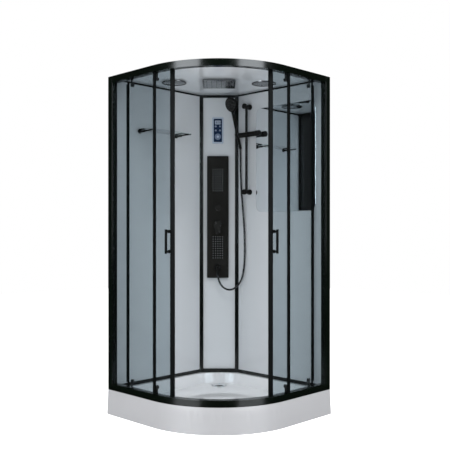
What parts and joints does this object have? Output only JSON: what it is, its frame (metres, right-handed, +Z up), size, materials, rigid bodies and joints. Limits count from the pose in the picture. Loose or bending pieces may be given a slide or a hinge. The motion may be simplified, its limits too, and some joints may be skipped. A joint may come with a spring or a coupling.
{
  "type": "steam shower cabin",
  "caption": "Quadrant steam shower cabin with a black frame, white back walls, curved sliding doors of tinted glass, a corner column with body jets, a hand shower and a low tray",
  "frame": {"origin": "middle of the footprint on the floor", "axes": "+Z up; the room's walls are at -X and +Y, the curved front looks to +X and -Y"},
  "size_m": [1.008, 1.008, 2.215],
  "materials": {
    "acrylic": "glossy sanitary acrylic",
    "acrylic_skirt": "glossy sanitary acrylic",
    "frame_steel": "galvanised steel",
    "feet": "moulded pad with a steel stud",
    "trap_plastic": "moulded",
    "chrome_cover": "polished",
    "wall_panel": "glossy white panel",
    "column_white": "glossy white panel",
    "roof_white": "glossy white panel",
    "black_profile": "black powder coat",
    "satin_black": "satin black",
    "matt_black": "matt black",
    "jet_rubber": "soft jets in a black plate",
    "tinted_glass": "light grey tempered glass",
    "shelf_clear": "clear tempered glass",
    "mirror_silver": "silvered",
    "mirror_cover": "polished",
    "grey_plastic": "moulded",
    "brass_body": "raw casting",
    "hose_black": "black flexible hose",
    "control_white": "glossy",
    "display_glass": "dark display plate",
    "key_face": "lit key face",
    "generator_steel": "brushed",
    "screw_steel": "plated",
    "hanger_metal": "black",
    "roller_plastic": "moulded"
  },
  "bodies": {
    "cabin": {"tray": "acrylic", "apron": "acrylic_skirt", "tray_frame": "frame_steel", "tray_feet": "feet", "drain_trap": "trap_plastic", "wall_left": "wall_panel", "wall_right": "wall_panel", "wall_trims": "black_profile", "corner_posts": "black_profile", "column_frame": "black_profile", "column_panel": "column_white", "roof": "roof_white", "fan_housing": "grey_plastic", "fan_grille": "mirror_cover", "speaker": "mirror_cover", "rain_head": "mirror_cover", "top_rail": "black_profile", "bottom_rail": "black_profile", "fixed_glass_left": "tinted_glass", "fixed_glass_right": "tinted_glass", "fixed_stiles": "black_profile", "mirror": "mirror_silver", "shelf_glass": "shelf_clear", "shelf_brackets": "satin_black", "shower_panel": "matt_black", "jet_nozzles": "jet_rubber", "mixer_valve": "brass_body", "hose_elbow": "satin_black", "riser_rail": "satin_black", "shower_hose": "hose_black", "control_housing": "control_white", "control_display": "display_glass", "steam_generator": "generator_steel", "roof_screws": "screw_steel"},
    "door_left": {"door_glass_left": "tinted_glass", "door_stile_left": "black_profile", "door_seal_left": "black_profile", "door_handle_left": "satin_black", "door_hangers_left": "hanger_metal"},
    "wheel_front_left": {"wheel_front_left": "roller_plastic"},
    "wheel_rear_left": {"wheel_rear_left": "roller_plastic"},
    "door_right": {"door_glass_right": "tinted_glass", "door_stile_right": "black_profile", "door_seal_right": "black_profile", "door_handle_right": "satin_black", "door_hangers_right": "hanger_metal"},
    "wheel_front_right": {"wheel_front_right": "roller_plastic"},
    "wheel_rear_right": {"wheel_rear_right": "roller_plastic"},
    "lever": {"mixer_lever": "satin_black"},
    "diverter": {"diverter_knob": "satin_black"},
    "key_1": {"key_1": "key_face"},
    "key_2": {"key_2": "key_face"},
    "key_3": {"key_3": "key_face"},
    "key_4": {"key_4": "key_face"},
    "key_ring": {"key_ring": "key_face"},
    "fan_rotor": {"fan_rotor": "grey_plastic"},
    "drain_cover": {"drain_cover": "chrome_cover"},
    "slider": {"slider": "satin_black"},
    "slider_knob": {"slider_knob": "satin_black"},
    "handset": {"handset": "satin_black"}
  },
  "joints": [
    {"name": "door_left_travel", "type": "hinge", "parent": "cabin", "child": "door_left", "pos_m": [-0.1805, 0.5396, 1.15], "axis": [0, 0, -1], "range_deg": [-17.46, 1.94]},
    {"name": "wheel_front_left_turn", "type": "hinge", "parent": "door_left", "child": "wheel_front_left", "pos_m": [-0.08733, -0.46592, 2.1202], "axis": [0.2282, -0.9736, 0], "continuous": true},
    {"name": "wheel_rear_left_turn", "type": "hinge", "parent": "door_left", "child": "wheel_rear_left", "pos_m": [-0.34404, -0.46072, 2.1202], "axis": [-0.2674, -0.9636, 0], "continuous": true},
    {"name": "door_right_travel", "type": "hinge", "parent": "cabin", "child": "door_right", "pos_m": [-0.5396, 0.1805, 1.15], "axis": [0, 0, 1], "range_deg": [-19.72, 0.48]},
    {"name": "wheel_front_right_turn", "type": "hinge", "parent": "door_right", "child": "wheel_front_right", "pos_m": [0.46881, 0.12705, 2.1202], "axis": [0.9819, -0.1896, 0], "continuous": true},
    {"name": "wheel_rear_right_turn", "type": "hinge", "parent": "door_right", "child": "wheel_rear_right", "pos_m": [0.45349, 0.38336, 2.1202], "axis": [0.9523, 0.3052, 0], "continuous": true},
    {"name": "lever_turn", "type": "hinge", "parent": "cabin", "child": "lever", "pos_m": [-0.37406, 0.36133, 1.214], "axis": [-0.7071, 0.7071, 0], "range_deg": [-50, 50]},
    {"name": "diverter_turn", "type": "hinge", "parent": "cabin", "child": "diverter", "pos_m": [-0.37406, 0.36133, 1.334], "axis": [-0.7071, 0.7071, 0], "range_deg": [-90, 90]},
    {"name": "key_1_press", "type": "slide", "parent": "cabin", "child": "key_1", "axis": [-0.7071, 0.7071, 0], "range_m": [0, 0.0012], "stiffness_N_per_m": 300},
    {"name": "key_2_press", "type": "slide", "parent": "cabin", "child": "key_2", "axis": [-0.7071, 0.7071, 0], "range_m": [0, 0.0012], "stiffness_N_per_m": 300},
    {"name": "key_3_press", "type": "slide", "parent": "cabin", "child": "key_3", "axis": [-0.7071, 0.7071, 0], "range_m": [0, 0.0012], "stiffness_N_per_m": 300},
    {"name": "key_4_press", "type": "slide", "parent": "cabin", "child": "key_4", "axis": [-0.7071, 0.7071, 0], "range_m": [0, 0.0012], "stiffness_N_per_m": 300},
    {"name": "key_ring_press", "type": "slide", "parent": "cabin", "child": "key_ring", "axis": [-0.7071, 0.7071, 0], "range_m": [0, 0.0012], "stiffness_N_per_m": 400},
    {"name": "fan_turn", "type": "hinge", "parent": "cabin", "child": "fan_rotor", "pos_m": [-0.288, -0.127, 2.155], "axis": [0, 0, 1], "continuous": true},
    {"name": "drain_cover_lift", "type": "slide", "parent": "cabin", "child": "drain_cover", "axis": [0, 0, 1], "range_m": [0, 0.03]},
    {"name": "slider_travel", "type": "slide", "parent": "cabin", "child": "slider", "axis": [0, 0, 1], "range_m": [-0.34, 0], "deforming": ["shower_hose"]},
    {"name": "slider_knob_turn", "type": "hinge", "parent": "slider", "child": "slider_knob", "pos_m": [-0.07, 0.446, 1.84], "axis": [1, 0, 0], "range_deg": [-180, 180]},
    {"name": "handset_lift", "type": "slide", "parent": "slider", "child": "handset", "axis": [0, -0.2924, 0.9563], "range_m": [0, 0.03], "deforming": ["shower_hose"]}
  ],
  "couplings": [
    {"joint": "wheel_front_left_turn", "follows": "door_left_travel", "ratio": 84.152},
    {"joint": "wheel_rear_left_turn", "follows": "door_left_travel", "ratio": 84.467},
    {"joint": "wheel_front_right_turn", "follows": "door_right_travel", "ratio": -84.152},
    {"joint": "wheel_rear_right_turn", "follows": "door_right_travel", "ratio": -84.467}
  ]
}
